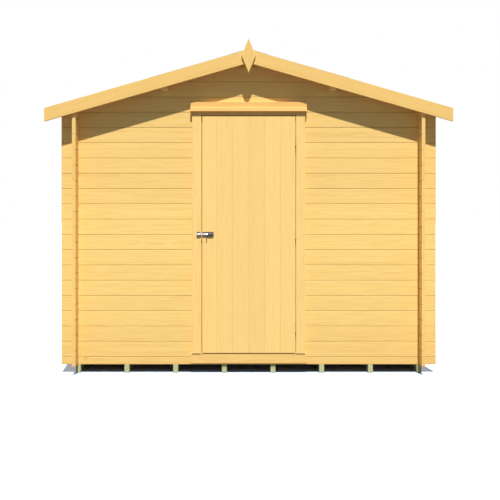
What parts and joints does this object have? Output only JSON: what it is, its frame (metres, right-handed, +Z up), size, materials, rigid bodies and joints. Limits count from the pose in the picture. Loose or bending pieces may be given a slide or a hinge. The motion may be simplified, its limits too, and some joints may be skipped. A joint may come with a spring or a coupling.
{
  "type": "log cabin",
  "caption": "Gabled log cabin of planed interlocking logs on floor bearers, with a felted board roof, diamond finials and one outward-opening boarded door with a sliding bolt.",
  "frame": {"origin": "on the ground at the middle of the cabin's box in plan", "axes": "+Z up, the door's front faces -Y, +X to the right seen from the front"},
  "size_m": [3.15, 2.416, 2.5982],
  "materials": {
    "treated_wood": "rough sawn, pressure treated",
    "floor_boards": "planed",
    "roof_boards": "planed",
    "roofing_felt": "mineral felt, matt",
    "log_pine": "planed, matt",
    "beam_pine": "planed, matt",
    "bargeboard_pine": "planed, matt",
    "frame_pine": "planed, matt",
    "door_pine": "planed, matt",
    "hinge_steel": "zinc plated",
    "bolt_zinc": "zinc plated"
  },
  "bodies": {
    "cabin": {"floor_bearer_1": "treated_wood", "floor_bearer_2": "treated_wood", "floor_bearer_3": "treated_wood", "floor_bearer_4": "treated_wood", "floor_bearer_5": "treated_wood", "floor_bearer_6": "treated_wood", "floor_bearer_7": "treated_wood", "floor_bearer_8": "treated_wood", "floor": "floor_boards", "left_wall": "log_pine", "right_wall": "log_pine", "back_wall": "log_pine", "back_gable": "log_pine", "front_base_log": "log_pine", "front_wall_left": "log_pine", "front_wall_right": "log_pine", "front_gable": "log_pine", "ridge_beam": "beam_pine", "left_purlin": "beam_pine", "right_purlin": "beam_pine", "left_roof_boards": "roof_boards", "right_roof_boards": "roof_boards", "left_felt": "roofing_felt", "right_felt": "roofing_felt", "ridge_felt": "roofing_felt", "front_left_bargeboard": "bargeboard_pine", "front_right_bargeboard": "bargeboard_pine", "back_left_bargeboard": "bargeboard_pine", "back_right_bargeboard": "bargeboard_pine", "front_finial": "bargeboard_pine", "back_finial": "bargeboard_pine", "left_jamb": "frame_pine", "right_jamb": "frame_pine", "door_head": "frame_pine", "door_sill": "frame_pine", "drip_board": "frame_pine", "frame_hinges": "hinge_steel", "bolt_keeper": "bolt_zinc"},
    "door": {"door_boards": "door_pine", "door_ledges": "door_pine", "door_braces": "door_pine", "door_hinges": "hinge_steel", "bolt_plate": "bolt_zinc"},
    "bolt": {"bolt_rod": "bolt_zinc"}
  },
  "joints": [
    {"name": "door_hinge", "type": "hinge", "parent": "cabin", "child": "door", "pos_m": [0.368, -1.094, 1.088], "axis": [0, 0, 1], "range_deg": [0, 110]},
    {"name": "bolt_slide", "type": "slide", "parent": "door", "child": "bolt", "axis": [-1, 0, 0], "range_m": [0, 0.024]}
  ]
}
